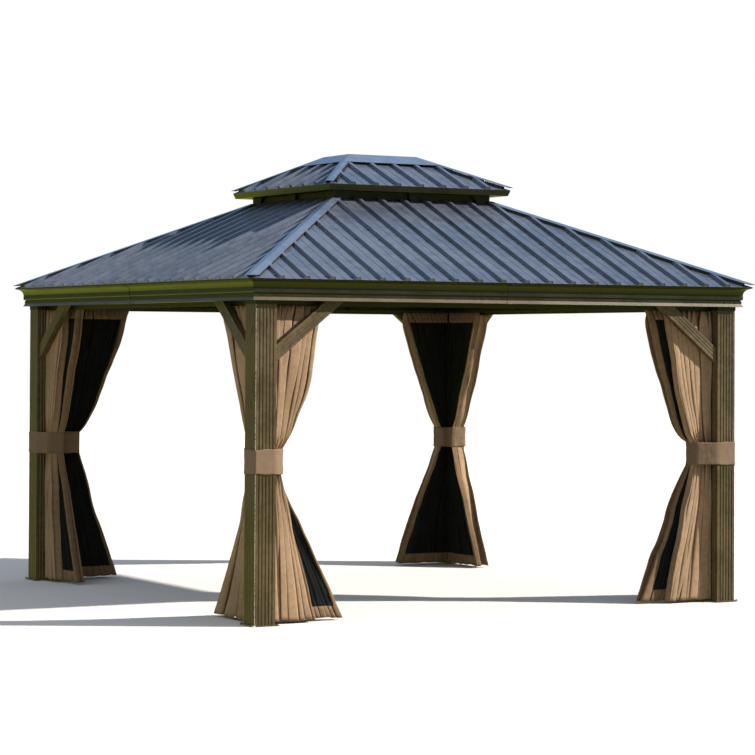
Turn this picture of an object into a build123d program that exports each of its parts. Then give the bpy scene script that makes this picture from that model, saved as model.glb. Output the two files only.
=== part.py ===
from build123d import *
import os
from math import atan2, cos, degrees, hypot, radians, sin, tan

# An open garden gazebo: four reeded corner posts, moulded edge beams with knee braces,
# a two-tier ribbed steel roof with a vent gap, and a curtain and a net on each side of
# every post, gathered to it by a tie band. Lengths are millimetres, +Z is up, the floor
# is Z = 0 and the origin is the middle of the plan. The front faces -Y.

os.makedirs("parts", exist_ok=True)

# Posts and base plates
POST_FACE = 1780
POST_WIDTH = 140
POST_WALL = 2.5
REED_COUNT = 5
REED_WIDTH = 12
REED_DEPTH = 4
REED_PITCH = 23
PLATE_SIZE = 176
PLATE_THICK = 8
PLATE_HOLE = 9
PLATE_EDGE = 8
PLATE_HOLE_SPACING = PLATE_SIZE - 2 * PLATE_EDGE
COLLAR_HEIGHT = 24
COLLAR_PROUD = 3

# Edge beams: "out" is measured from the posts' outer faces
BEAM_UNDERSIDE = 1948
BEAM_BACK = -58
BAND_FOOT_OUT = 40
BAND_OUT = 28
BAND_HEIGHT = 22
STRIP_OUT = 31
STRIP_TOP = 37
GROOVE_OUT = 27
GROOVE_TOP = 44
BEAD_OUT = 38
BEAD_TOP = 70
LIP_OUT = 82
LIP_BOTTOM = 121
BEAM_HEIGHT = 131
BEAM_WALL = 3
CORNER_ARM = 142
SEAM = 0.8
SPLICE_WIDTH = 56
SPLICE_THICK = 1.5

# Knee braces, in the plane of each side
BRACE_REACH = 470
BRACE_DROP = 372
BRACE_WIDTH = 78
BRACE_OUT = -15
BRACE_THICK = 40
BRACE_WALL = 2
BRACE_REED = 9
BRACE_REED_DEPTH = 2.5
BRACE_REED_PITCH = 19

# Curtain and net rails, inside the beams
RAIL_LIFT = 2
RAIL_TOP = BEAM_UNDERSIDE + RAIL_LIFT
CURTAIN_RAIL_HEIGHT = 30
NET_RAIL_HEIGHT = 12
RAIL_WIDTH = 20
CURTAIN_OUT = -62
CURTAIN_THICK = 58
NET_OUT = -124
NET_THICK = 42
CLOTH_FLOOR_GAP = 12
BEND_UNDER_RAIL = 260
BEND_OVER_BAND = 280
BEND_UNDER_BAND = 425
BAND_BOTTOM = 905
BAND_TALL = 150
BAND_THICK = 3
RAIL_BRACKETS = 5

# Lower roof
EAVE = POST_FACE + LIP_OUT
EAVE_Z = BEAM_UNDERSIDE + BEAM_HEIGHT
VENT = 600
LOWER_RISE = 568
VENT_Z = EAVE_Z + LOWER_RISE
SHEET = 1.2
RIB_PITCH = 174
RIB_COUNT = 20
RIB_BASE = 40
RIB_TOP = 24
RIB_HEIGHT = 20
CREASE_WIDTH = 12
CREASE_HEIGHT = 2.5
EAVE_OVERHANG = 6
HIP_GAP = 3
HIP_CAP_HALF = 44
HIP_CAP_THICK = 1.5

# Framing under the roof
RAFTER_WIDTH = 30
RAFTER_DEPTH = 40
RAFTER_WALL = 2
HIP_TUBE = 40
JACK_OFFSET = 760

# Vent between the two tiers, and upper roof
RING_WIDTH = 40
RING_HEIGHT = 40
TOP_RING_PROUD = 40
TOP_RING_OUT = VENT + TOP_RING_PROUD
TOP_RING_WIDTH = 62
VENT_GAP = 54
TOP_RING_BOTTOM = VENT_Z + VENT_GAP
TOP_RING_HEIGHT = 26
UPPER_OVERHANG = 63
UPPER_EAVE = TOP_RING_OUT + UPPER_OVERHANG
FASCIA_HEIGHT = 38
FASCIA_LEAN = 13
UPPER_EAVE_Z = TOP_RING_BOTTOM + FASCIA_HEIGHT
FASCIA_FOOT = UPPER_EAVE - FASCIA_LEAN
FASCIA_THICK = 1.5
PEAK_X = 265
PEAK_Y = 180
UPPER_RISE = 218
PEAK_Z = UPPER_EAVE_Z + UPPER_RISE
UPPER_RIB_PITCH = 174
UPPER_RIB_COUNT = 7
CAP_SKIRT = 128
PEAK_FRAME = 30

# Each hanging, by the side that it hangs on and the end of that side: how far the curtain
# reaches from the post at its top and foot, the same for the net, and both at the tie band
CLOTHS = {
    ("front", "left"): (340, 330, 345, 520, 70),
    ("front", "right"): (490, 500, 480, 530, 150),
    ("right", "front"): (430, 460, 430, 480, 90),
    ("right", "back"): (430, 440, 430, 470, 90),
    ("back", "right"): (400, 430, 400, 450, 80),
    ("back", "left"): (560, 450, 560, 470, 190),
    ("left", "back"): (430, 440, 430, 460, 90),
    ("left", "front"): (450, 540, 450, 560, 80),
}
SIDE_TURN = {"front": 0, "right": 90, "back": 180, "left": 270}

roof_rise = EAVE_Z - VENT_Z
roof_run = EAVE - VENT
lower_angle = degrees(atan2(VENT_Z - EAVE_Z, roof_run))


def prism(points, low, high):
    """Upright prism over a plan outline."""
    outline = Polyline(*[(x, y) for x, y in points], close=True)
    return Pos(0, 0, low) * extrude(make_face(outline), high - low)


def block(x0, x1, y0, y1, z0, z1):
    return Pos((x0 + x1) / 2, (y0 + y1) / 2, (z0 + z1) / 2) * Box(x1 - x0, y1 - y0, z1 - z0)


def along_x(face_points, x0, x1):
    """Solid with a (y, z) outline run from x0 to x1."""
    outline = Polyline(*[(0, y, z) for y, z in face_points], close=True)
    return Pos(x0, 0, 0) * extrude(make_face(outline), x1 - x0, dir=(1, 0, 0))


def all_sides(solid):
    """The same solid on the four sides."""
    return [Rot(0, 0, 90 * turn) * solid for turn in range(4)]


def all_corners(solid):
    return all_sides(solid)


def save(name, solids):
    """One node: a single solid, or like solids that do not touch."""
    solids = list(solids) if isinstance(solids, (list, tuple)) else [solids]
    flat = []
    for solid in solids:
        flat += list(solid.solids())
    shape = flat[0] if len(flat) == 1 else Compound(children=flat)
    export_step(shape, f"parts/{name}.step")
    print(name, len(flat), round(sum(s.volume for s in flat) / 1e6, 3), "litres")


# Posts: square tubes whose four faces carry shallow upright reeds
def reeded_side(half, inset):
    """Points of one face, left to right, the wall's inset folded into every reed."""
    fold = inset * tan(radians(22.5))
    level = half - inset
    points = [(-level, -level)]
    first = -(REED_COUNT - 1) / 2 * REED_PITCH
    for reed in range(REED_COUNT):
        middle = first + reed * REED_PITCH
        left = middle - REED_WIDTH / 2 - fold
        right = middle + REED_WIDTH / 2 + fold
        points.append((left, -level))
        points.append((left + REED_DEPTH, -level + REED_DEPTH))
        points.append((right - REED_DEPTH, -level + REED_DEPTH))
        points.append((right, -level))
    return points


def turned(points, quarter):
    """Points turned about the origin by quarter turns."""
    for _ in range(quarter):
        points = [(-y, x) for x, y in points]
    return points


def reeded_outline(inset):
    points = []
    for quarter in range(4):
        points += turned(reeded_side(POST_WIDTH / 2, inset), quarter)
    return points


post_middle = POST_FACE - POST_WIDTH / 2
post_bottom = PLATE_THICK
post_tube = prism(reeded_outline(0), post_bottom, BEAM_UNDERSIDE)
post_tube -= prism(reeded_outline(POST_WALL), post_bottom, BEAM_UNDERSIDE)
corner_names = {"front_left": (-1, -1), "front_right": (1, -1), "back_right": (1, 1), "back_left": (-1, 1)}
for corner, (side_x, side_y) in corner_names.items():
    save(f"post_{corner}", Pos(side_x * post_middle, side_y * post_middle, 0) * post_tube)

plate = block(-PLATE_SIZE / 2, PLATE_SIZE / 2, -PLATE_SIZE / 2, PLATE_SIZE / 2, 0, PLATE_THICK)
for hole in GridLocations(PLATE_HOLE_SPACING, PLATE_HOLE_SPACING, 2, 2):
    plate -= hole * Pos(0, 0, PLATE_THICK / 2) * Cylinder(PLATE_HOLE / 2, PLATE_THICK * 2)
plate_places = [Pos(x * post_middle, y * post_middle, 0) for x, y in corner_names.values()]
save("base_plates", [place * plate for place in plate_places])

collar_half = POST_WIDTH / 2 + COLLAR_PROUD
collar_low = BEAM_UNDERSIDE - COLLAR_HEIGHT
collar = block(-collar_half, collar_half, -collar_half, collar_half, collar_low, BEAM_UNDERSIDE)
hole_half = POST_WIDTH / 2
collar -= block(-hole_half, hole_half, -hole_half, hole_half, collar_low, BEAM_UNDERSIDE)
save("post_collars", [place * collar for place in plate_places])


# Edge beams: hollow section with a flat band, a bead and a cove up to the top lip
def cornice_face(inset):
    """Section of the edge beam on the front side, drawn in the YZ plane."""
    base_y = -POST_FACE
    base_z = BEAM_UNDERSIDE

    def at(out, up):
        return (0, base_y - out, base_z + up)

    back = BEAM_BACK + inset
    low, top = inset, BEAM_HEIGHT - inset
    bead = BEAD_OUT - inset
    lip = LIP_OUT - inset
    step = GROOVE_TOP + inset
    start = at(back, low)
    if inset:
        # The hollow follows the sloped band and passes behind the strip and the groove
        face = [start, at(BAND_FOOT_OUT - inset * 1.7, low), at(GROOVE_OUT - inset, BAND_HEIGHT)]
        face += [at(GROOVE_OUT - inset, step)]
    else:
        face = [start, at(BAND_FOOT_OUT, low), at(BAND_OUT, BAND_HEIGHT), at(STRIP_OUT, BAND_HEIGHT)]
        face += [at(STRIP_OUT, STRIP_TOP), at(GROOVE_OUT, STRIP_TOP), at(GROOVE_OUT, step)]
    lines = Polyline(*face)
    lines += ThreePointArc(face[-1], at(bead - 2, step + 3), at(bead, step + 10))
    lines += Line(at(bead, step + 10), at(bead, BEAD_TOP))
    bow = at(bead + (lip - bead) * 0.24, BEAD_TOP + (LIP_BOTTOM + inset - BEAD_TOP) * 0.70)
    lines += ThreePointArc(at(bead, BEAD_TOP), bow, at(lip - 3, LIP_BOTTOM + inset))
    lines += Line(at(lip - 3, LIP_BOTTOM + inset), at(lip, LIP_BOTTOM + inset))
    lines += Line(at(lip, LIP_BOTTOM + inset), at(lip, top))
    lines += Line(at(lip, top), at(back, top))
    lines += Line(at(back, top), start)
    return make_face(lines)


def cornice_run(x0, x1):
    run = Pos(x0, 0, 0) * extrude(cornice_face(0), x1 - x0, dir=(1, 0, 0))
    run -= Pos(x0, 0, 0) * extrude(cornice_face(BEAM_WALL), x1 - x0, dir=(1, 0, 0))
    return run


seam_x = EAVE - CORNER_ARM
beam_halves = [cornice_run(-seam_x + SEAM, -SEAM / 2), cornice_run(SEAM / 2, seam_x - SEAM)]
for side, turn in SIDE_TURN.items():
    save(f"beam_{side}", [Rot(0, 0, turn) * half for half in beam_halves])

# Corner pieces of the same section, mitred at the tip
mitre_front = prism([(0, 0), (-3000, -3000), (0, -3000)], 0, 4000)
mitre_left = prism([(0, 0), (-3000, -3000), (-3000, 0)], 0, 4000)
arm_front = cornice_run(-EAVE - 40, -seam_x) & mitre_front
arm_left = (Rot(0, 0, -90) * cornice_run(seam_x, EAVE + 40)) & mitre_left
save("beam_corners", all_corners(arm_front + arm_left))

# Splice covers over the joint in the middle of each beam
cover = extrude(offset(cornice_face(0), SPLICE_THICK, kind=Kind.INTERSECTION), SPLICE_WIDTH, dir=(1, 0, 0))
cover = Pos(-SPLICE_WIDTH / 2, 0, 0) * cover
cover -= Pos(-SPLICE_WIDTH, 0, 0) * extrude(cornice_face(0), SPLICE_WIDTH * 2, dir=(1, 0, 0))
cover_low = BEAM_UNDERSIDE - 10
cover &= block(-100, 100, -EAVE - 10, -POST_FACE - 2, cover_low, EAVE_Z - 4)
save("beam_splices", all_sides(cover))


# Knee braces: reeded box section, cut flush to the post and the beam
def brace_section(inset):
    """Section across the brace, as (in-plane, outward) points with reeds on both wide faces."""
    fold = inset * tan(radians(22.5))
    wide, deep = BRACE_WIDTH / 2 - inset, BRACE_THICK / 2 - inset
    face = [(-wide, -deep)]
    for reed in (-1, 0, 1):
        left = reed * BRACE_REED_PITCH - BRACE_REED / 2 - fold
        right = reed * BRACE_REED_PITCH + BRACE_REED / 2 + fold
        sunk = -deep + BRACE_REED_DEPTH
        face += [(left, -deep), (left + BRACE_REED_DEPTH, sunk)]
        face += [(right - BRACE_REED_DEPTH, sunk), (right, -deep)]
    face += [(wide, -deep)]
    return face + [(-x, -y) for x, y in face]


def brace(direction):
    """Brace beside the post at one end of the front side; direction is +1 at the left post."""
    length = 2 * BRACE_REACH
    along = Vector(BRACE_REACH, 0, BRACE_DROP).normalized()
    across = Vector(-BRACE_DROP, 0, BRACE_REACH).normalized()
    start = Vector(0, 0, -BRACE_DROP) + across * (BRACE_WIDTH / 2) - along * (length / 4)
    plane = Plane(origin=start, x_dir=across, z_dir=along)

    def bar(inset):
        corners = [plane.from_local_coords((x, y)) for x, y in brace_section(inset)]
        return extrude(make_face(Polyline(*corners, close=True)), length, dir=along)

    solid = bar(0) - bar(BRACE_WALL)
    solid &= block(0, BRACE_REACH + 50, -50, 50, -BRACE_REACH - 50, 0)
    solid = Pos(-POST_FACE + POST_WIDTH, -POST_FACE - BRACE_OUT + BRACE_THICK / 2, BEAM_UNDERSIDE) * solid
    return solid if direction > 0 else mirror(solid, Plane.YZ)


for side, turn in SIDE_TURN.items():
    save(f"knee_braces_{side}", [Rot(0, 0, turn) * brace(1), Rot(0, 0, turn) * brace(-1)])

# Rails for the curtains and the nets, hung on brackets from the beams' inner faces
rail_half = POST_FACE - POST_WIDTH - COLLAR_PROUD - 1


def rail(out, thick, height):
    """Open-bottomed channel along the front side."""
    y0 = -POST_FACE - out
    rail_low = RAIL_TOP - height
    body = block(-rail_half, rail_half, y0, y0 + thick, rail_low, RAIL_TOP)
    slot = block(-rail_half, rail_half, y0 + 2, y0 + thick - 2, rail_low, RAIL_TOP - 2)
    lip_left = block(-rail_half, rail_half, y0 + 2, y0 + thick / 2 - 3, rail_low, rail_low + 1.5)
    lip_right = block(-rail_half, rail_half, y0 + thick / 2 + 3, y0 + thick - 2, rail_low, rail_low + 1.5)
    return body - slot + lip_left + lip_right


beam_inner_y = -POST_FACE - BEAM_BACK
curtain_rail_out = CURTAIN_OUT - CURTAIN_THICK / 2 + RAIL_WIDTH / 2
net_rail_out = NET_OUT - NET_THICK / 2 + RAIL_WIDTH / 2
rails = rail(curtain_rail_out, RAIL_WIDTH, CURTAIN_RAIL_HEIGHT)
rails += rail(net_rail_out, RAIL_WIDTH, NET_RAIL_HEIGHT)
net_rail_back = -POST_FACE - net_rail_out + RAIL_WIDTH
for bracket in range(RAIL_BRACKETS):
    middle = (bracket - (RAIL_BRACKETS - 1) / 2) * (rail_half - 60) * 2 / (RAIL_BRACKETS - 1)
    rails += block(middle - 20, middle + 20, beam_inner_y, net_rail_back, RAIL_TOP, RAIL_TOP + 3)
    rails += block(middle - 20, middle + 20, beam_inner_y, beam_inner_y + 3, RAIL_TOP, RAIL_TOP + 40)
save("curtain_rails", all_sides(rails))


# Curtains and nets: wide at the rail, drawn in at the tie band, flared to the floor
def cloth(out, thick, top, foot, bunch, direction):
    edge = -POST_FACE + POST_WIDTH + COLLAR_PROUD + 1
    # The nets of two sides meet in the corner behind the post, so they start past each other
    inset = max(0, -POST_FACE - NET_OUT + NET_THICK + 1 - edge) if out == NET_OUT else 0
    rail_low = RAIL_TOP - (NET_RAIL_HEIGHT if out == NET_OUT else CURTAIN_RAIL_HEIGHT)
    band_low, band_high = BAND_BOTTOM, BAND_BOTTOM + BAND_TALL
    outline = [
        (inset, rail_low), (top, rail_low), (bunch + (top - bunch) * 0.8, rail_low - BEND_UNDER_RAIL),
        (bunch + (top - bunch) * 0.45, band_high + BEND_OVER_BAND), (bunch, band_high), (bunch, band_low),
        (bunch + (foot - bunch) * 0.6, band_low - BEND_UNDER_BAND),
        (foot, CLOTH_FLOOR_GAP), (inset, CLOTH_FLOOR_GAP),
    ]
    corners = [(direction * (edge + x), 0, z) for x, z in outline]
    face = make_face(Polyline(*corners, close=True))
    return Pos(0, -POST_FACE - out, 0) * extrude(face, thick, dir=(0, 1, 0))


# On each side, seen from outside, the left-hand post of that side has direction +1
LEFT_HAND = {"front": "left", "right": "front", "back": "right", "left": "back"}
for (side, end), (top, foot, net_top, net_foot, bunch) in CLOTHS.items():
    direction = 1 if LEFT_HAND[side] == end else -1
    place = Rot(0, 0, SIDE_TURN[side])
    save(f"curtain_{side}_{end}", place * cloth(CURTAIN_OUT, CURTAIN_THICK, top, foot, bunch, direction))

for side in SIDE_TURN:
    pair = []
    for (cloth_side, end), (top, foot, net_top, net_foot, bunch) in CLOTHS.items():
        if cloth_side == side:
            direction = 1 if LEFT_HAND[side] == end else -1
            net = cloth(NET_OUT, NET_THICK, net_top, net_foot, bunch, direction)
            pair.append(Rot(0, 0, SIDE_TURN[side]) * net)
    save(f"nets_{side}", pair)

# Tie bands: a strap round each post and the cloth gathered against it
def strap_outline(bunch_x, bunch_y, grow):
    """Plan of the strap at the front left post, grown outwards by the strap's thickness."""
    near = -POST_FACE - grow
    cloth_out = -POST_FACE - CURTAIN_OUT - 22 - grow
    cloth_in = -POST_FACE - NET_OUT + NET_THICK + 4 + grow
    start = -POST_FACE + POST_WIDTH + COLLAR_PROUD + 2 + grow
    end_x, end_y = start + bunch_x, start + bunch_y
    side = -POST_FACE + POST_WIDTH
    return [
        (near, near), (side, near), (end_x, cloth_out), (end_x, cloth_in), (cloth_in, cloth_in),
        (cloth_in, end_y), (cloth_out, end_y), (near, side),
    ]


# Seen from the middle, the hangings at each post: one along local X, one along local Y
POST_CLOTHS = [
    (("front", "left"), ("left", "front")), (("right", "front"), ("front", "right")),
    (("back", "right"), ("right", "back")), (("left", "back"), ("back", "left")),
]
straps = []
for quarter, (along_local_x, along_local_y) in enumerate(POST_CLOTHS):
    bunches = (CLOTHS[along_local_x][4], CLOTHS[along_local_y][4])
    strap = prism(strap_outline(*bunches, BAND_THICK), BAND_BOTTOM, BAND_BOTTOM + BAND_TALL)
    strap -= prism(strap_outline(*bunches, 0), BAND_BOTTOM, BAND_BOTTOM + BAND_TALL)
    straps.append(Rot(0, 0, 90 * quarter) * strap)
save("tie_bands", straps)


# Roof planes. A tier's side rises from its eave at distance "eave" to its top at "top".
def slope_frame(eave, eave_z, top, top_z):
    """Plane on a front slope: x along the eave, y up the slope, z out of the roof."""
    rise, run = top_z - eave_z, eave - top
    length = hypot(rise, run)
    upward = (0, run / length, rise / length)
    outward = (0, -rise / length, run / length)
    plane = Plane(origin=(0, -eave, eave_z), x_dir=(1, 0, 0), z_dir=outward)
    return plane, upward, length


def rib_outline(half, pitch, count, lift):
    """Ribbed sheet's lower or upper line across the slope, as (x, height) points."""
    slant = atan2(RIB_HEIGHT, (RIB_BASE - RIB_TOP) / 2)
    fold = lift * tan(slant / 2)
    points = [(-half, lift)]
    for rib in range(count):
        middle = (rib - (count - 1) / 2) * pitch
        base, top = RIB_BASE / 2 + fold, RIB_TOP / 2 + fold
        height = RIB_HEIGHT - SHEET + lift
        points += [(middle - base, lift), (middle - top, height)]
        points += [(middle + top, height), (middle + base, lift)]
        if rib < count - 1:
            crease = middle + pitch / 2
            points += [(crease - CREASE_WIDTH / 2, lift), (crease, lift + CREASE_HEIGHT)]
            points += [(crease + CREASE_WIDTH / 2, lift)]
    return points + [(half, lift)]


def ribbed_sheet(eave, eave_z, top, top_z, half, pitch, count, overhang):
    """Ribbed sheet lying on the slope, wider than it needs to be, before its hips are cut."""
    plane, upward, length = slope_frame(eave, eave_z, top, top_z)
    lower = rib_outline(half, pitch, count, 0)
    upper = rib_outline(half, pitch, count, SHEET)
    ring = lower + upper[::-1]
    start = (0, -eave - upward[1] * overhang, eave_z - upward[2] * overhang)
    section_plane = Plane(origin=start, x_dir=(1, 0, 0), z_dir=tuple(-c for c in upward))
    sign = 1 if section_plane.y_dir.Z > 0 else -1
    corners = [section_plane.from_local_coords((x, sign * height)) for x, height in ring]
    face = make_face(Polyline(*corners, close=True))
    return extrude(face, length + overhang, dir=upward)


def hip_region(eave, top, eave_end, top_end, gap):
    """Plan of one front side between its two hips, a little short of each."""
    return prism(
        [(-eave_end + gap, -eave), (eave_end - gap, -eave), (top_end - gap, -top), (-top_end + gap, -top)],
        0, 4000,
    )


lower_sheet = ribbed_sheet(EAVE, EAVE_Z, VENT, VENT_Z, EAVE + 20, RIB_PITCH, RIB_COUNT, EAVE_OVERHANG)
reach = EAVE + 30
lower_sheet &= hip_region(reach, VENT - 4, reach, VENT - 4, HIP_GAP * 2 ** 0.5)
for side, turn in SIDE_TURN.items():
    save(f"lower_roof_{side}", Rot(0, 0, turn) * lower_sheet)


def slope_layer(eave, eave_z, top, top_z, low, high, overhang, half):
    """Flat layer between two heights above a front slope."""
    plane, upward, length = slope_frame(eave, eave_z, top, top_z)
    out = plane.z_dir
    rows = []
    for lift, along in ((low, -overhang), (low, length), (high, length), (high, -overhang)):
        y = -eave + upward[1] * along + out.Y * lift
        z = eave_z + upward[2] * along + out.Z * lift
        rows.append((y, z))
    return along_x(rows, -half, half)


def hip_cap(eave_x, eave_y, eave_z, top_x, top_y, top_z, half, overhang):
    """Folded strip over the front left hip, resting on the ribs of both slopes."""
    run_x, run_y = eave_x - top_x, eave_y - top_y
    length = hypot(run_x, run_y)
    side = (run_y / length * half, -run_x / length * half)
    extra = 10
    start = (-eave_x - run_x / length * extra, -eave_y - run_y / length * extra)
    end = (-top_x, -top_y)
    low, high = RIB_HEIGHT, RIB_HEIGHT + HIP_CAP_THICK
    front = slope_layer(eave_y, eave_z, top_y, top_z, low, high, overhang, eave_x + 60)
    left = Rot(0, 0, -90) * slope_layer(eave_x, eave_z, top_x, top_z, low, high, overhang, eave_y + 60)
    far_x, far_y = start[0] - run_x / length * 40, start[1] - run_y / length * 40

    def strip(sign):
        """Plan of the strip on one side of the hip."""
        out_x, out_y = sign * side[0], sign * side[1]
        return prism([(far_x, far_y), end, (end[0] + out_x, end[1] + out_y), (far_x + out_x, far_y + out_y)], 0, 4000)

    return (front & strip(1)) + (left & strip(-1))


lower_cap = hip_cap(EAVE, EAVE, EAVE_Z, VENT, VENT, VENT_Z, HIP_CAP_HALF, EAVE_OVERHANG + 2)
save("lower_hip_caps", all_corners(lower_cap))


# Rafters: box tubes under the sheets, resting on the beams
def sloped_tube(eave, eave_z, top, top_z, x, width, depth, drop):
    """Tube under a front slope at one x, its top face on the sheet's underside."""
    body = slope_layer(eave, eave_z, top, top_z, -depth - drop, -drop, 0, width / 2)
    low, high = -depth - drop + RAFTER_WALL, -drop - RAFTER_WALL
    core = slope_layer(eave, eave_z, top, top_z, low, high, 0, width / 2 - RAFTER_WALL)
    return Pos(x, 0, 0) * (body - core)


above_beam = block(-3000, 3000, -EAVE + 24, -VENT, EAVE_Z, 4000)
common = sloped_tube(EAVE, EAVE_Z, VENT, VENT_Z, 0, RAFTER_WIDTH, RAFTER_DEPTH, 0) & above_beam
save("common_rafters", all_sides(common))

hip_clear = (HIP_TUBE / 2 + 0.5) * 2 ** 0.5
jack_zone = prism([(-3000 + hip_clear, -3000), (3000 - hip_clear, -3000), (0, -hip_clear)], EAVE_Z, 4000)
jacks = []
for jack_x in (-JACK_OFFSET, JACK_OFFSET):
    jack = sloped_tube(EAVE, EAVE_Z, VENT, VENT_Z, jack_x, RAFTER_WIDTH, RAFTER_DEPTH, 0)
    jacks.append(jack & above_beam & jack_zone)
jack_solids = []
for jack in jacks:
    jack_solids += all_sides(jack)
save("jack_rafters", jack_solids)


def hip_tube(eave, eave_z, top, top_z, size, drop, start_trim):
    """Tube under a front left hip, drawn along +X and turned into place."""
    run = (eave - top) * 2 ** 0.5
    rise = top_z - eave_z
    length = hypot(run, rise)
    tilt = degrees(atan2(rise, run))
    tube = block(0, length, -size / 2, size / 2, -size - drop, -drop)
    tube -= block(0, length, -size / 2 + 2, size / 2 - 2, -size - drop + 2, -drop - 2)
    return Pos(-eave, -eave, eave_z) * Rot(0, 0, 45) * Rot(0, -tilt, 0) * tube


hip_fall = HIP_TUBE / 2 * sin(radians(45)) * tan(radians(lower_angle))
ring_box = block(-VENT, VENT, -VENT, VENT, 0, 4000)
hip = hip_tube(EAVE, EAVE_Z, VENT, VENT_Z, HIP_TUBE, hip_fall + 0.3, 0)
hip &= block(-EAVE + 24, 0, -EAVE + 24, 0, EAVE_Z, 4000)
hip -= ring_box
save("hip_rafters", all_corners(hip))


# Square frames either side of the vent gap, as four mitred tubes
def frame_bars(out, width, low, height, wall):
    inner = out - width
    bar = block(-out, out, -out, -inner, low, low + height)
    bar -= block(-out, out, -out + wall, -inner - wall, low + wall, low + height - wall)
    wedge = prism([(0, -0.5), (-3000, -3000.5), (3000, -3000.5)], 0, 4000)
    return bar & wedge


ring_top = VENT_Z - 3
save("vent_ring", all_sides(frame_bars(VENT, RING_WIDTH, ring_top - RING_HEIGHT, RING_HEIGHT, 2)))
upper_bars = frame_bars(TOP_RING_OUT, TOP_RING_WIDTH, TOP_RING_BOTTOM, TOP_RING_HEIGHT, 2)
save("upper_ring", all_sides(upper_bars))


# Brackets that carry the upper tier: flared at the corners, plain at mid-side
def bracket_plate(foot_half, head_half, middle, thick):
    """Upright flared plate on the front of the vent ring."""
    outline = [
        (middle - foot_half, ring_top), (middle + foot_half, ring_top),
        (middle + head_half, TOP_RING_BOTTOM), (middle - head_half, TOP_RING_BOTTOM),
    ]
    face = make_face(Polyline(*[(x, 0, z) for x, z in outline], close=True))
    return Pos(0, -VENT + 1, 0) * extrude(face, thick, dir=(0, 1, 0))


corner_plate = bracket_plate(50, 92, -VENT + 46, 6) & block(-VENT + 1, 0, -VENT, 0, 0, 4000)
corner_pair = corner_plate + mirror(corner_plate, Plane(origin=(0, 0, 0), z_dir=(1, -1, 0)))
save("vent_corner_brackets", all_corners(corner_pair))
save("vent_mid_brackets", all_sides(bracket_plate(26, 34, 0, 14)))

# Fascia of the upper tier: a face that leans in at its foot, and a soffit back to the frame
fascia_section = [
    (-UPPER_EAVE, UPPER_EAVE_Z), (-FASCIA_FOOT, TOP_RING_BOTTOM), (-TOP_RING_OUT, TOP_RING_BOTTOM),
    (-TOP_RING_OUT, TOP_RING_BOTTOM + FASCIA_THICK), (-FASCIA_FOOT + 1.2, TOP_RING_BOTTOM + FASCIA_THICK),
    (-UPPER_EAVE + FASCIA_THICK, UPPER_EAVE_Z - 1.5), (-UPPER_EAVE + 40, UPPER_EAVE_Z - 1.5),
    (-UPPER_EAVE + 40, UPPER_EAVE_Z),
]
fascia = along_x(fascia_section, -UPPER_EAVE, UPPER_EAVE)
fascia &= prism([(0, -0.4), (-3000, -3000.4), (3000, -3000.4)], 0, 4000)
save("upper_fascia", all_sides(fascia))


# Upper roof: the plan of its flat top is longer than it is deep, so its slopes differ a little
def upper_side(eave, top, half_top, across):
    sheet = ribbed_sheet(
        UPPER_EAVE, UPPER_EAVE_Z, top, PEAK_Z, UPPER_EAVE + 20, UPPER_RIB_PITCH, UPPER_RIB_COUNT, 0
    )
    gap = HIP_GAP * 1.6
    lean = (UPPER_EAVE - across) / (UPPER_EAVE - top)
    start = UPPER_EAVE + 30
    wide = UPPER_EAVE + 30 * lean
    return sheet & hip_region(start, top - 4, wide, across - 4 * lean, gap)


front_sheet = upper_side(UPPER_EAVE, PEAK_Y, PEAK_X, PEAK_X)
side_sheet = upper_side(UPPER_EAVE, PEAK_X, PEAK_Y, PEAK_Y)
save("upper_roof_front", front_sheet)
save("upper_roof_back", Rot(0, 0, 180) * front_sheet)
save("upper_roof_right", Rot(0, 0, 90) * side_sheet)
save("upper_roof_left", Rot(0, 0, -90) * side_sheet)

cap_left = hip_cap(UPPER_EAVE, UPPER_EAVE, UPPER_EAVE_Z, PEAK_X, PEAK_Y, PEAK_Z, 30, 2)
cap_right = mirror(cap_left, Plane.YZ)
skirt_x = PEAK_X + CAP_SKIRT
skirt_y = PEAK_Y + CAP_SKIRT * (UPPER_EAVE - PEAK_Y) / (UPPER_EAVE - PEAK_X)
under_skirt = block(-skirt_x, skirt_x, -skirt_y, skirt_y, 0, 4000)
upper_caps = [cap_left, cap_right, mirror(cap_left, Plane.XZ), mirror(cap_right, Plane.XZ)]
save("upper_hip_caps", [cap - under_skirt for cap in upper_caps])


# Plain cap over the peak: a shallow flat-topped cover standing on the ribs
def peak_solid(lift):
    """Truncated pyramid under the cap's outer or inner face."""
    rate_x = (PEAK_Z - UPPER_EAVE_Z) / (UPPER_EAVE - PEAK_X)
    above = RIB_HEIGHT * hypot(1, rate_x) + lift
    low_z = PEAK_Z - CAP_SKIRT * rate_x + above
    top_z = PEAK_Z + above
    foot = make_face(Pos(0, 0, low_z) * Rectangle(2 * skirt_x, 2 * skirt_y).wire())
    head = make_face(Pos(0, 0, top_z) * Rectangle(2 * PEAK_X, 2 * PEAK_Y).wire())
    return loft([foot.face(), head.face()])


peak_cap = peak_solid(HIP_CAP_THICK + 0.2) - peak_solid(0.2)
save("peak_cap", peak_cap)

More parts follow.
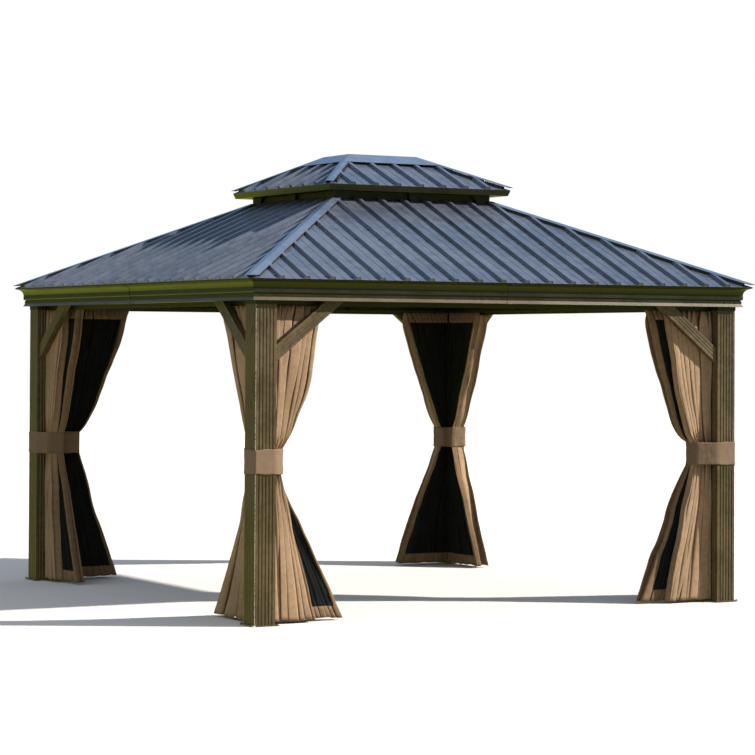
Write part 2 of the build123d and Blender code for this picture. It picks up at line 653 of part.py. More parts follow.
# Rafters and a small frame under the flat top
upper_hips = []
rafter_foot = TOP_RING_OUT - 8
for side_x, side_y in corner_names.values():
    start = Vector(side_x * rafter_foot, side_y * rafter_foot, TOP_RING_BOTTOM + TOP_RING_HEIGHT)
    end = Vector(side_x * (PEAK_X - 6), side_y * (PEAK_Y - 6), PEAK_Z - 34)
    axis_plane = Plane(origin=start, z_dir=(end - start).normalized(), x_dir=(-side_y, side_x, 0))
    bar = extrude(axis_plane * Rectangle(24, 24), (end - start).length)
    bar -= extrude(axis_plane * Rectangle(20, 20), (end - start).length)
    frame_space = block(-PEAK_X, PEAK_X, -PEAK_Y, PEAK_Y, 0, 4000)
    low_space = block(-3000, 3000, -3000, 3000, 0, TOP_RING_BOTTOM + TOP_RING_HEIGHT)
    upper_hips.append(bar - frame_space - low_space)
save("upper_rafters", upper_hips)
peak_low = PEAK_Z - PEAK_FRAME - 22
frame_block = block(-PEAK_X, PEAK_X, -PEAK_Y, PEAK_Y, peak_low, peak_low + PEAK_FRAME)
inner_x, inner_y = PEAK_X - PEAK_FRAME, PEAK_Y - PEAK_FRAME
frame_block -= block(-inner_x, inner_x, -inner_y, inner_y, peak_low, peak_low + PEAK_FRAME)
save("peak_frame", frame_block)
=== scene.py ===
from collections import namedtuple
from itertools import product
from math import cos, hypot, pi, radians, sin

import bmesh
import bpy
from mathutils import Matrix, Vector, noise


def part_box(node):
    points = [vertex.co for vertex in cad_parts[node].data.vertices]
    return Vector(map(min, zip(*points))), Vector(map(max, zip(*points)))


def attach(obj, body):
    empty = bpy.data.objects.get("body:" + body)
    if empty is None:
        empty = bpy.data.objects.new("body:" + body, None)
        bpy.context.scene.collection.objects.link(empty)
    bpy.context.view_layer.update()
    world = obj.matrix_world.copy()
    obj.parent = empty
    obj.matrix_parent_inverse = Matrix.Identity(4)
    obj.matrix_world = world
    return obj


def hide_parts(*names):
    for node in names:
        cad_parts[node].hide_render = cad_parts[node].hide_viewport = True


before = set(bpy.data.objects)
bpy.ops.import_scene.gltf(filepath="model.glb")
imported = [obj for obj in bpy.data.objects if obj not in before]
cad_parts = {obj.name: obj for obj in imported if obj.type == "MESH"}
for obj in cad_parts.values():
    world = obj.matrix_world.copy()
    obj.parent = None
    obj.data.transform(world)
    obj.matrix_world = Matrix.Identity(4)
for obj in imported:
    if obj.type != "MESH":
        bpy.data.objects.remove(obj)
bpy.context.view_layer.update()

# Sizes, in metres, read from the frame or shared by several pieces
SIDES = ("front", "right", "back", "left")
SIDE_TURN = {side: radians(90 * k) for k, side in enumerate(SIDES)}
LEFT_HAND = {"front": "left", "right": "front", "back": "right", "left": "back"}

post_low, post_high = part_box("post_front_left")
POST_FACE = -post_low.x
POST_WIDTH = post_high.x - post_low.x
BEAM_LOW = post_high.z
PLATE_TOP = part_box("base_plates")[1].z
BAND_LOW, BAND_HIGH = (corner.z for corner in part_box("tie_bands"))
BAND_MIDDLE = (BAND_LOW + BAND_HIGH) / 2

# The two tiers of the roof: the eave's distance from the middle and its height, the same for the
# top of the slopes along x and y, then the ribs of each side and their overhang
Tier = namedtuple("Tier", "eave eave_z top_x top_y top_z ribs overhang")
LOWER_TIER = Tier(eave=1.862, eave_z=2.079, top_x=0.600, top_y=0.600, top_z=2.647, ribs=20, overhang=0.006)
UPPER_TIER = Tier(eave=0.703, eave_z=2.739, top_x=0.265, top_y=0.180, top_z=2.957, ribs=7, overhang=0.0)
RIB_PITCH = 0.174
RIB_BASE_HALF, RIB_TOP_HALF, RIB_HEIGHT = 0.0195, 0.0115, 0.0185

# Each hanging, by its side and its end of that side: reach from the post at the rail and at the
# floor, for the curtain and for the net, and in the tie band for both. Then how the outline bends
# over and under the band, and a number that varies the folds
Reach = namedtuple("Reach", "curtain net bunch over under seed")
HANGINGS = {
    ("front", "left"): Reach((0.335, 0.290), (0.335, 0.515), 0.066, 0.60, 0.95, 1.31),
    ("front", "right"): Reach((0.345, 0.345), (0.478, 0.525), 0.130, 0.55, 0.95, 2.17),
    ("right", "front"): Reach((0.425, 0.450), (0.425, 0.475), 0.084, 0.70, 1.00, 3.71),
    ("right", "back"): Reach((0.425, 0.430), (0.425, 0.465), 0.084, 0.80, 1.00, 4.43),
    ("back", "right"): Reach((0.390, 0.420), (0.395, 0.445), 0.076, 0.85, 1.00, 5.23),
    ("back", "left"): Reach((0.530, 0.430), (0.555, 0.465), 0.170, 0.72, 1.10, 6.61),
    ("left", "back"): Reach((0.300, 0.200), (0.425, 0.455), 0.084, 0.75, 1.05, 7.37),
    ("left", "front"): Reach((0.445, 0.535), (0.445, 0.550), 0.076, 0.95, 1.25, 8.83),
}
CUT = (1.64, 1.93)
CUT_WIDTH, CUT_HEIGHT = CUT
CLOTH_FOOT = 0.012
CLOTH_START = POST_WIDTH + 0.005
NET_START = 0.023
RAIL_CLEAR = 0.002
HEM_TOP, HEM_FOOT, HEM_EDGE = 0.085, 0.075, 0.085
COLUMNS, ROWS = 240, 76


def new_object(name, bm, material, smooth=True):
    """A finished piece from a bmesh, at the origin."""
    mesh = bpy.data.meshes.new(name)
    bm.to_mesh(mesh)
    bm.free()
    mesh.materials.append(material)
    mesh.polygons.foreach_set("use_smooth", [smooth] * len(mesh.polygons))
    piece = bpy.data.objects.new(name, mesh)
    bpy.context.scene.collection.objects.link(piece)
    return piece


def hardware(name, bm, paint):
    """A rigid piece that only the scene has."""
    piece = new_object(name, bm, paint.material, smooth=False)
    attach(piece, "root")


# Shader maths

class Value:
    """A shader socket that can be used in sums."""

    def __init__(self, nodes, socket):
        self.nodes, self.socket = nodes, socket

    def _math(self, operation, first, second):
        return self.nodes.node("ShaderNodeMath", {"operation": operation}, {0: first, 1: second})

    def __add__(self, other):
        return self._math("ADD", self, other)

    __radd__ = __add__

    def __mul__(self, other):
        return self._math("MULTIPLY", self, other)

    __rmul__ = __mul__

    def __sub__(self, other):
        return self._math("SUBTRACT", self, other)

    def __rsub__(self, other):
        return self._math("SUBTRACT", other, self)

    def __gt__(self, other):
        return self._math("GREATER_THAN", self, other)

    def __abs__(self):
        return self._math("ABSOLUTE", self, 0)


class Nodes:
    """A node tree, and the few ways in which this scene adds to it."""

    def __init__(self, tree):
        self.tree = tree

    def node(self, kind, settings=None, inputs=None, output=0):
        made = self.tree.nodes.new(kind)
        for key, value in (settings or {}).items():
            if key == "stops":
                for element, (position, tint) in zip(made.color_ramp.elements, value):
                    element.position, element.color = position, tint
            else:
                setattr(made, key, value)
        for key, value in (inputs or {}).items():
            if isinstance(value, Value):
                self.tree.links.new(value.socket, made.inputs[key])
            else:
                made.inputs[key].default_value = value
        return Value(self, made.outputs[output])

    def axis(self, which, coordinates="Object"):
        """One axis of the texture coordinates."""
        place = self.node("ShaderNodeTexCoord", output=coordinates)
        return self.node("ShaderNodeSeparateXYZ", {}, {0: place}, which)

    def blend(self, factor, first, second):
        """Mix of two colours."""
        return self.node("ShaderNodeMix", {"data_type": "RGBA"}, {0: factor, 6: first, 7: second}, 2)

    def ramp(self, value, low, low_tint, high, high_tint):
        """Colour from one tint at a low value to another at a high one."""
        return self.node("ShaderNodeValToRGB", {"stops": ((low, low_tint), (high, high_tint))}, {0: value})

    def ray(self, which):
        """1 for one kind of ray, such as Is Camera Ray."""
        return self.node("ShaderNodeLightPath", output=which)

    def either(self, factor, first, second):
        """Mix of two shaders."""
        return self.node("ShaderNodeMixShader", {}, {0: factor, 1: first, 2: second})

    def show(self, output_kind, shader):
        """Make a shader the tree's surface."""
        output = self.tree.nodes.new(output_kind)
        self.tree.links.new(shader.socket, output.inputs["Surface"])


class Paint(Nodes):
    """One material: a Principled shader and the nodes that feed it."""

    def __init__(self, name, **fixed):
        self.material = bpy.data.materials.new(name)
        self.material.use_nodes = True
        super().__init__(self.material.node_tree)
        self.shader = self.tree.nodes["Principled BSDF"]
        self.fed = {}
        for socket, value in fixed.items():
            self.shader.inputs[socket.replace("_", " ")].default_value = value

    def cloud(self, scale, detail=3.0, where=None):
        """Soft noise from 0 to 1."""
        where = where or self.node("ShaderNodeTexCoord", output="Object")
        return self.node("ShaderNodeTexNoise", {}, {"Vector": where, "Scale": scale, "Detail": detail}, "Fac")

    def between(self, value, low, high, start=0.0, end=1.0):
        """Smooth step of a value, from start at low to end at high."""
        settings = {"interpolation_type": "SMOOTHSTEP"}
        inputs = {"Value": value, "From Min": low, "From Max": high, "To Min": start, "To Max": end}
        return self.node("ShaderNodeMapRange", settings, inputs)

    def feed(self, socket, value):
        self.fed[socket] = value
        self.tree.links.new(value.socket, self.shader.inputs[socket])

    def bump(self, height, depth, strength):
        inputs = {"Height": height, "Distance": depth, "Strength": strength}
        self.feed("Normal", self.node("ShaderNodeBump", {}, inputs))


def colour(red, green, blue):
    """Linear colour from the 0 to 255 numbers of a screen colour."""
    def linear(level):
        level /= 255
        return level / 12.92 if level <= 0.04045 else ((level + 0.055) / 1.055) ** 2.4
    return (linear(red), linear(green), linear(blue), 1.0)


# Finishes

# Heights over the foot of a beam up to which its painted band of sunlight is full, and where it has ended
SUNLIT_BAND_FULL, SUNLIT_BAND_END = 0.0215, 0.0235
# Width of the painted highlight on each post's outer corner, and the height up to which dust lies
CORNER_HIGHLIGHT_WIDTH, DUST_HEIGHT = 0.0018, 0.35


def powder_coat(name, dark, light, rough, specular=0.5, **fixed):
    """Satin powder coat on metal, with a faint mottle, dust low down and a fine orange peel."""
    paint = Paint(name, Metallic=0.0, Specular_IOR_Level=specular, **fixed)
    mottle = paint.cloud(scale=4.0, detail=4.0) * 0.6 + paint.cloud(scale=38.0, detail=2.0) * 0.4
    tone = paint.blend(paint.between(mottle, 0.35, 0.65), dark, light)
    place = paint.node("ShaderNodeTexCoord", output="Object")
    drawn_out = paint.node("ShaderNodeMapping", {}, {0: place, "Scale": (9.0, 9.0, 0.35)})
    streak = paint.cloud(scale=5.0, detail=3.0, where=drawn_out)
    dusty = paint.between(paint.axis("Z"), DUST_HEIGHT, 0.0) * paint.between(streak, 0.45, 0.7) * 0.45
    dust = colour(128, 116, 98)
    paint.feed("Base Color", paint.blend(dusty, tone, dust))
    paint.feed("Roughness", paint.between(mottle, 0.3, 0.7, rough - 0.05, rough + 0.09))
    paint.bump(paint.cloud(scale=420.0, detail=2.0), depth=0.00022, strength=0.55)
    return paint


def add_painted_sunlit_band(paint):
    """Painted sunlight: the flat band at the foot of the beams is painted a paler bronze, standing in for the
    sun on it below the moulding's shadow, and it is duller than the moulding over it.
    """
    mask = paint.between(paint.axis("Z"), BEAM_LOW + SUNLIT_BAND_END, BEAM_LOW + SUNLIT_BAND_FULL)
    # Paler bronze of the painted sunlit band, the same on all four sides
    pale = paint.blend(paint.cloud(scale=6.0), colour(76, 66, 42), colour(94, 82, 55))
    paint.feed("Base Color", paint.blend(mask, paint.fed["Base Color"], pale))
    paint.feed("Coat Weight", (1 - mask) * 0.6)


def add_painted_corner_highlight(paint):
    """Painted highlight: the outer corner of each post is painted as a thin pale broken line, standing in for
    the light that edge catches.
    """
    inner = POST_FACE - CORNER_HIGHLIGHT_WIDTH
    corner = (abs(paint.axis("X")) > inner) * (abs(paint.axis("Y")) > inner)
    highlight_breaks = paint.between(paint.cloud(scale=90.0, detail=2.0), 0.38, 0.5)
    # Pale colour of the painted highlight, broken into dashes by noise
    highlight_tint = colour(214, 206, 190)
    paint.feed("Base Color", paint.blend(corner * highlight_breaks, paint.fed["Base Color"], highlight_tint))


def roof_paint(name, dark, light):
    """Coil-coated sheet: blue-grey and clouded, with specks of grime."""
    fixed = {"Specular_IOR_Level": 0.5, "Coat_Weight": 0.45, "Coat_Roughness": 0.16}
    paint = Paint(name, Metallic=0.0, **fixed)
    cloudy = paint.cloud(scale=1.6, detail=4.0) * 0.5 + paint.cloud(scale=14.0, detail=3.0) * 0.5
    tone = paint.blend(paint.between(cloudy, 0.35, 0.65), dark, light)
    specks = paint.between(paint.cloud(scale=60.0, detail=4.0), 0.55, 0.8) * 0.35
    grime = colour(74, 76, 84)
    paint.feed("Base Color", paint.blend(specks, tone, grime))
    paint.feed("Roughness", paint.between(cloudy, 0.3, 0.7, 0.32, 0.46))
    paint.bump(paint.cloud(scale=9.0, detail=2.0), depth=0.0012, strength=0.35)
    return paint


def woven(name, dark, light, sheen):
    """Woven polyester: threads on the cloth's own lengths, with faint creases and fading."""
    fixed = {"Roughness": 0.85, "Specular_IOR_Level": 0.25, "Sheen_Roughness": 0.5}
    paint = Paint(name, Sheen_Weight=sheen, **fixed)
    on_cloth = paint.node("ShaderNodeTexCoord", output="UV")
    threads = {"Vector": on_cloth, "Scale": 130.0}
    warp = paint.node("ShaderNodeTexWave", {"bands_direction": "X"}, threads, "Fac")
    weft = paint.node("ShaderNodeTexWave", {"bands_direction": "Y"}, threads, "Fac")
    fading = paint.cloud(scale=2.4, detail=4.0) * 0.55 + paint.cloud(30.0, 3.0, on_cloth) * 0.45
    tone = paint.blend(paint.between(fading, 0.34, 0.66), dark, light)
    thread = (warp + weft) * 0.5
    paint.feed("Base Color", paint.blend(thread * 0.16, tone, dark))
    crease = paint.cloud(scale=6.0, detail=3.0, where=on_cloth)
    paint.bump(thread * 0.04 + crease, depth=0.007, strength=0.5)
    return paint


def mottled(name, scale, detail, dark, light, **fixed):
    """A plain finish with a soft change of tone."""
    paint = Paint(name, **fixed)
    paint.feed("Base Color", paint.blend(paint.cloud(scale, detail), dark, light))
    return paint


post_paint = powder_coat("post_finish", colour(74, 61, 41), colour(98, 82, 57), 0.40)
add_painted_corner_highlight(post_paint)
beam_paint = powder_coat(
    "beam_finish", colour(24, 22, 12), colour(34, 31, 17), 0.34, specular=0.35, Coat_Roughness=0.22
)
add_painted_sunlit_band(beam_paint)
dark_paint = powder_coat("underframe_finish", colour(27, 24, 19), colour(40, 36, 28), 0.5)
brace_paint = powder_coat("brace_finish", colour(78, 65, 45), colour(104, 88, 63), 0.42)
roof_finish = roof_paint("roof_sheet_finish", colour(73, 79, 93), colour(97, 103, 116))
cap_finish = roof_paint("roof_cap_finish", colour(82, 94, 116), colour(104, 118, 140))
cloth_paint = woven("curtain_weave", colour(154, 127, 101), colour(180, 151, 122), 0.12)
hem_paint = woven("net_border_weave", colour(122, 98, 74), colour(146, 119, 92), 0.10)
band_paint = woven("tie_band_weave", colour(126, 105, 86), colour(134, 112, 92), 0.10)
net_paint = mottled(
    "black_net", 7.0, 4.0, colour(16, 18, 20), colour(36, 40, 42),
    Roughness=0.9, Specular_IOR_Level=0.1, Alpha=0.965,
)
screw_paint = mottled(
    "screw_finish", 50.0, 3.0, colour(52, 56, 66), colour(92, 98, 110),
    Roughness=0.4, Metallic=0.6,
)

# Finishes of the frame's own nodes, by the start of their names; other rigid nodes are dark
NODE_FINISHES = (
    ("post_collars", dark_paint), ("post_", post_paint), ("base_plates", post_paint),
    ("beam_", beam_paint), ("upper_fascia", beam_paint), ("knee_", brace_paint),
    ("lower_roof", roof_finish), ("upper_roof", roof_finish),
    ("lower_hip_caps", cap_finish), ("upper_hip_caps", cap_finish), ("peak_cap", cap_finish),
)
SOFT_NODES = {f"curtain_{side}_{end}" for side, end in HANGINGS}
SOFT_NODES |= {f"nets_{side}" for side in SIDES} | {"tie_bands"}


def dress(node, paint):
    """Give a node its finish."""
    mesh = bpy.data.objects[node].data
    for index in range(len(mesh.materials)):
        mesh.materials[index] = paint.material
    if not mesh.materials:
        mesh.materials.append(paint.material)


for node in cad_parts:
    if node not in SOFT_NODES:
        found = [paint for start, paint in NODE_FINISHES if node.startswith(start)]
        dress(node, found[0] if found else dark_paint)


# Cloth

def plane_and_depth(node):
    """Distance from the middle of the plan to a hanging's plane, and the depth it may fill."""
    low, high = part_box(node)
    size = high - low
    across = 0 if size.x < size.y else 1
    return abs(low[across] + high[across]) / 2, size[across]


def smooth(t):
    t = min(max(t, 0.0), 1.0)
    return t * t * (3 - 2 * t)


def near(z, level, reach):
    """1 at a level, falling to 0 at a distance from it."""
    return smooth(1 - abs(z - level) / reach)


def ripple(*place):
    return noise.noise(Vector(place))


# Heights over which the cloth is drawn tight by the band, finely gathered at the band and at the
# rail, held even in its header, spread out low down, and uneven at its foot
TIGHT_REACH, BAND_GATHER_REACH, RAIL_GATHER_REACH = 0.34, 0.24, 0.16
HEADER_REACH, LOW_REACH, FOOT_REACH = 0.10, 0.45, 0.12
# How strong the gathers are at the band and at the rail
BAND_GATHER, RAIL_GATHER = 0.92, 0.80
# The pace along the cut changes in waves of one, two and three turns, and less so in the header
PACE_WAVES = ((1, 0.36), (2, 0.32), (3, 0.24))
HEADER_CALM = 0.55
# Heights of the folds, of the gathers that run between them, and of the broad swings behind both
FOLD_HEIGHT, GATHER_HEIGHT, BROAD_HEIGHT, BROAD_HEIGHT_LOW = 1.42, 0.68, 0.08, 0.26
BROAD_SHARE = 0.36
# Cloth past the solid's half depth, and the soft dents, sideways drift and ragged edge, in metres
DEPTH_SPARE, DENT, DRIFT, RAGGED_EDGE, RAGGED_FINE = 0.0035, 0.008, 0.007, 0.022, 0.007
FOOT_UNEVEN, FOOT_LIFT = 0.010, 0.006
# How far the folds curl over themselves, in fold widths
CURL, CURL_LOST_IN_GATHERS, GATHER_CURL = 0.36, 0.18, 0.10


class Hanging:
    """One gathered curtain or net beside a post, drawn in by the tie band."""

    def __init__(self, node, side, end, ends, reach, seed, folds):
        self.plane, self.depth = plane_and_depth(node)
        self.top_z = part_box(node)[1].z - RAIL_CLEAR
        self.reach_top, self.reach_foot = ends
        self.bunch, self.over, self.under = reach.bunch, reach.over, reach.under
        self.seed, self.folds = seed, folds
        self.direction = 1 if LEFT_HAND[side] == end else -1
        self.side = Matrix.Rotation(SIDE_TURN[side], 4, "Z")
        self.start = NET_START if node.startswith("nets") else 0.0

    def width(self, z):
        """How far the cloth reaches from its start at a height."""
        if z > BAND_HIGH:
            rise = (z - BAND_HIGH) / (self.top_z - BAND_HIGH)
            return self.bunch + (self.reach_top - self.bunch) * rise ** self.over - self.start
        if z < BAND_LOW:
            fall = (BAND_LOW - z) / (BAND_LOW - CLOTH_FOOT)
            return self.bunch + (self.reach_foot - self.bunch) * fall ** self.under - self.start
        return self.bunch - self.start

    def spread(self, t, z, header):
        """Share of the width reached at a share of the cut, and the uneven pace there."""
        reached, pace = t, 1.0
        for turns, share in PACE_WAVES:
            drift = self.seed * turns * 2.3 + ripple(self.seed, turns * 3.0, z * 0.7) * 1.1
            share *= 1 - HEADER_CALM * header
            reached += share * (sin(2 * pi * turns * t + drift) - sin(drift)) / (2 * pi * turns)
            pace += share * cos(2 * pi * turns * t + drift)
        return reached, pace

    def wave(self, t, z, angle, fine):
        """Height of the folds at a point: small gathers run together into broad folds."""
        low_down = smooth((BAND_LOW - z) / LOW_REACH)
        swell = 1.0 + 0.85 * ripple(self.seed * 3 + t * 5.2, z * 0.8, 5.0)
        folds = FOLD_HEIGHT * sin(angle) * swell * (1 - 0.55 * fine)
        gathers = GATHER_HEIGHT * fine * sin(3 * angle + 0.8)
        swing = sin(2 * pi * (self.folds * BROAD_SHARE * t + self.seed * 1.7) + z * 0.9)
        return folds + gathers + swing * (BROAD_HEIGHT + BROAD_HEIGHT_LOW * low_down)

    def place(self, t, z):
        """Point of the cloth at a share of its cut width and at a height."""
        header = near(z, self.top_z, HEADER_REACH)
        loose = 1 - near(z, BAND_MIDDLE, TIGHT_REACH)
        at_band = BAND_GATHER * near(z, BAND_MIDDLE, BAND_GATHER_REACH)
        fine = max(at_band, RAIL_GATHER * near(z, self.top_z, RAIL_GATHER_REACH))
        angle = 2 * pi * (self.folds * t + self.seed)
        angle += ripple(t * 2.0, z * 1.1, self.seed) * 1.3 * (1 - header)

        wave = self.wave(t, z, angle, fine)
        y = (self.depth / 2 + DEPTH_SPARE) * wave / (1 + wave ** 4) ** 0.25
        y += ripple(t * 6 + z * 1.8, z * 3.4, self.seed) * DENT * loose * (1 - header)

        width = self.width(z)
        reached, pace = self.spread(t, z, header)
        pitch = width * pace / self.folds
        x = width * reached - sin(2 * angle) * pitch * (CURL - CURL_LOST_IN_GATHERS * fine)
        x -= sin(6 * angle + 1.6) * pitch * GATHER_CURL * fine
        x += ripple(t * 3, z * 2.2, self.seed) * DRIFT * loose * (1 - header)
        ragged = ripple(self.seed, z * 3.2, 9.0) * RAGGED_EDGE + ripple(self.seed, z * 9.0, 4.0) * RAGGED_FINE
        x += ragged * loose * smooth((t - 0.75) * 4)

        lift = ripple(t * 5 + self.seed, 0.0, 2.0) * FOOT_UNEVEN + FOOT_LIFT
        z += lift * near(z, CLOTH_FOOT, FOOT_REACH)
        x = self.start + max(x, 0.0)
        return self.side @ Vector((self.direction * (-POST_FACE + CLOTH_START + x), -self.plane - y, z))

    def mesh(self):
        bm = bmesh.new()
        uv = bm.loops.layers.uv.new("UVMap")
        bmesh.ops.create_grid(bm, x_segments=COLUMNS, y_segments=ROWS, size=1.0)
        flat_place = {}
        for vert in bm.verts:
            t, up = (vert.co.x + 1) / 2, (vert.co.y + 1) / 2
            flat_place[vert] = (t * CUT_WIDTH, up * CUT_HEIGHT)
            vert.co = self.place(t, CLOTH_FOOT + (self.top_z - CLOTH_FOOT) * up)
        for face in bm.faces:
            for loop in face.loops:
                loop[uv].uv = flat_place[loop.vert]
        if self.direction < 0:
            bmesh.ops.reverse_faces(bm, faces=bm.faces)
        return bm


def thicken(piece, thickness, shift=0.0):
    solid = piece.modifiers.new("cloth", "SOLIDIFY")
    solid.thickness, solid.offset = thickness, shift


def hem_of(bm):
    """The woven border of a net: its mesh without the netting inside the hem's width."""
    border = bm.copy()
    uv = border.loops.layers.uv.active
    inner = []
    for face in border.faces:
        middle_u = sum(loop[uv].uv.x for loop in face.loops) / 4
        middle_v = sum(loop[uv].uv.y for loop in face.loops) / 4
        between = HEM_FOOT < middle_v < CUT_HEIGHT - HEM_TOP
        if between and middle_u < CUT_WIDTH - HEM_EDGE:
            inner.append(face)
    bmesh.ops.delete(border, geom=inner, context="FACES")
    return border


NET_FOLDS = 12
CURTAIN_THICK, HEM_THICK, STRAP_THICK = 0.0012, 0.003, 0.002
for (side, end), reach in HANGINGS.items():
    curtain_node, net_node = f"curtain_{side}_{end}", f"nets_{side}"
    # A wider curtain needs fewer folds to take up the same cut
    folds = round(8.6 - 2.2 * sum(reach.curtain))
    hanging = Hanging(curtain_node, side, end, reach.curtain, reach, reach.seed, folds)
    curtain = new_object(f"{curtain_node}_cloth", hanging.mesh(), cloth_paint.material)
    thicken(curtain, CURTAIN_THICK)
    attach(curtain, "root")
    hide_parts(curtain_node)

    bm = Hanging(net_node, side, end, reach.net, reach, reach.seed + 0.5, NET_FOLDS).mesh()
    border = hem_of(bm)
    net = new_object(f"net_{side}_{end}_cloth", bm, net_paint.material)
    hem = new_object(f"net_{side}_{end}_border", border, hem_paint.material)
    thicken(hem, HEM_THICK)
    for piece in (net, hem):
        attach(piece, "root")
        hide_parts(net_node)


# Tie bands: a wide strap round each post and the cloth beside it

# At each corner, the hangings along the strap's own X and Y once it is turned into place
CORNERS = (
    ("front_left", ("front", "left"), ("left", "front")),
    ("front_right", ("right", "front"), ("front", "right")),
    ("back_right", ("back", "right"), ("right", "back")),
    ("back_left", ("left", "back"), ("back", "left")),
)
STRAP_STEPS, STRAP_ROWS, BEND_STEPS = 180, 18, 4
STRAP_CLEAR, STRAP_CLOTH_CLEAR = 0.0012, 0.002
CURTAIN_SPREAD, NET_SPREAD = 0.044, 0.024
# Roundings of the strap: at the post's corner, where it runs free, round the curtain, behind the nets
POST_BEND, FREE_BEND, CURTAIN_BEND, INNER_BEND = 0.006, 0.020, 0.016, 0.012
# How far a strap is pushed about, in metres
PULL, SLACK, LIFT, FLARE, WAVER = 0.0026, 0.0012, 0.0010, 0.0016, 0.005


def strap_corners(bunch_x, bunch_y):
    """Corners of the strap in plan at the front left post, each with its rounding."""
    face = -POST_FACE - STRAP_CLEAR
    inner_face = -POST_FACE + POST_WIDTH
    start = -POST_FACE + CLOTH_START + STRAP_CLOTH_CLEAR
    far_x, far_y = start + bunch_x, start + bunch_y
    cloth_out = -plane_and_depth("curtain_front_left")[0] - CURTAIN_SPREAD
    cloth_in = -plane_and_depth("nets_front")[0] + NET_SPREAD
    return [
        (face, face, POST_BEND), (inner_face, face, FREE_BEND),
        (far_x, cloth_out, CURTAIN_BEND), (far_x, cloth_in, FREE_BEND),
        (cloth_in, cloth_in, INNER_BEND), (cloth_in, far_y, FREE_BEND),
        (cloth_out, far_y, CURTAIN_BEND), (face, inner_face, FREE_BEND),
    ]


def rounded(corners):
    """Closed line through rounded corners."""
    points = []
    for index, (x, y, round_by) in enumerate(corners):
        here = Vector((x, y))
        before = Vector(corners[index - 1][:2])
        after = Vector(corners[(index + 1) % len(corners)][:2])
        start = here + (before - here).normalized() * round_by
        end = here + (after - here).normalized() * round_by
        for step in range(BEND_STEPS + 1):
            t = step / BEND_STEPS
            points.append(start * (1 - t) ** 2 + here * 2 * t * (1 - t) + end * t * t)
    return points


def evenly_spaced(points, count):
    """The same closed line with its points at even distances, and its length."""
    lengths = [0.0]
    for first, second in zip(points, points[1:] + points[:1]):
        lengths.append(lengths[-1] + (second - first).length)
    total = lengths[-1]
    spaced = []
    for sample in range(count):
        want = total * sample / count
        index = max(i for i, done in enumerate(lengths[:-1]) if done <= want)
        part = (want - lengths[index]) / max(lengths[index + 1] - lengths[index], 1e-9)
        spaced.append(points[index].lerp(points[(index + 1) % len(points)], part))
    return spaced, total


def crumple(bm, quarter):
    """Make a strap uneven, least where it lies on the post, and flare its two edges."""
    middle = Vector((-POST_FACE + 0.1, -POST_FACE + 0.1, 0))
    for vert in bm.verts:
        up = (vert.co.z - BAND_LOW) / (BAND_HIGH - BAND_LOW)
        outward = vert.co - middle
        outward.z = 0
        off_post = smooth((vert.co.x + vert.co.y + 2 * POST_FACE - 0.10) / 0.12)
        pull = ripple(vert.co.x * 22, vert.co.y * 22, vert.co.z * 30 + quarter * 7) * PULL
        slack = ripple(vert.co.x * 60, vert.co.y * 60, vert.co.z * 18 + quarter * 3) * SLACK
        push = (pull + slack) * (0.35 + 0.65 * off_post) + LIFT + FLARE * (2 * up - 1) ** 2
        vert.co += outward.normalized() * push
        vert.co.z += ripple(vert.co.x * 14, vert.co.y * 14, quarter + 0.5) * WAVER * (2 * up - 1)


def strap_mesh(line, quarter):
    bm = bmesh.new()
    uv = bm.loops.layers.uv.new("UVMap")
    ring = [bm.verts.new((point.x, point.y, BAND_LOW)) for point in line]
    layer = [bm.edges.new(pair) for pair in zip(ring, ring[1:] + ring[:1])]
    for row in range(STRAP_ROWS):
        made = bmesh.ops.extrude_edge_only(bm, edges=layer)["geom"]
        fresh = [item for item in made if isinstance(item, bmesh.types.BMVert)]
        layer = [item for item in made if isinstance(item, bmesh.types.BMEdge)]
        bmesh.ops.translate(bm, verts=fresh, vec=(0, 0, (BAND_HIGH - BAND_LOW) / STRAP_ROWS))
    crumple(bm, quarter)
    for face in bm.faces:
        for loop in face.loops:
            loop[uv].uv = (loop.vert.co.x + loop.vert.co.y, loop.vert.co.z)
    bmesh.ops.recalc_face_normals(bm, faces=bm.faces)
    turn = Matrix.Rotation(radians(90 * quarter), 3, "Z")
    bmesh.ops.rotate(bm, verts=bm.verts, cent=(0, 0, 0), matrix=turn)
    return bm


for quarter, (corner, along_x, along_y) in enumerate(CORNERS):
    outline = rounded(strap_corners(HANGINGS[along_x].bunch, HANGINGS[along_y].bunch))
    line, strap_length = evenly_spaced(outline, STRAP_STEPS)
    strap = new_object(f"tie_band_{corner}_cloth", strap_mesh(line, quarter), band_paint.material)
    thicken(strap, STRAP_THICK, shift=1.0)
    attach(strap, "root")
    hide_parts("tie_bands")


# Screws, closed rib ends, hip strips, the vent's guard and the anchor bolts

ROOF_SCREW, EAVE_SCREW, ANCHOR_BOLT = 0.0075, 0.0065, 0.0078
SCREW_ASIDE, SCREW_FROM_HIP, SHEET_TOP = 0.030, 0.06, 0.0012
LOWER_SCREW_ROWS, UPPER_SCREW_ROWS = (0.03, 0.66, 1.30), (0.04,)
PLUG_THICK, PLUG_INSET = 0.004, 0.001
CLOSURE_INSET, CLOSURE_ASIDE, CLOSURE_THICK, CLOSURE_TALL = 0.040, 0.033, 0.005, 0.021
GUARD_FROM_MIDDLE, GUARD_SIZE, GUARD_Z = 0.575, (1.15, 0.002, 0.062), 2.6735
BOLT_FROM_POST_MIDDLE = 0.08


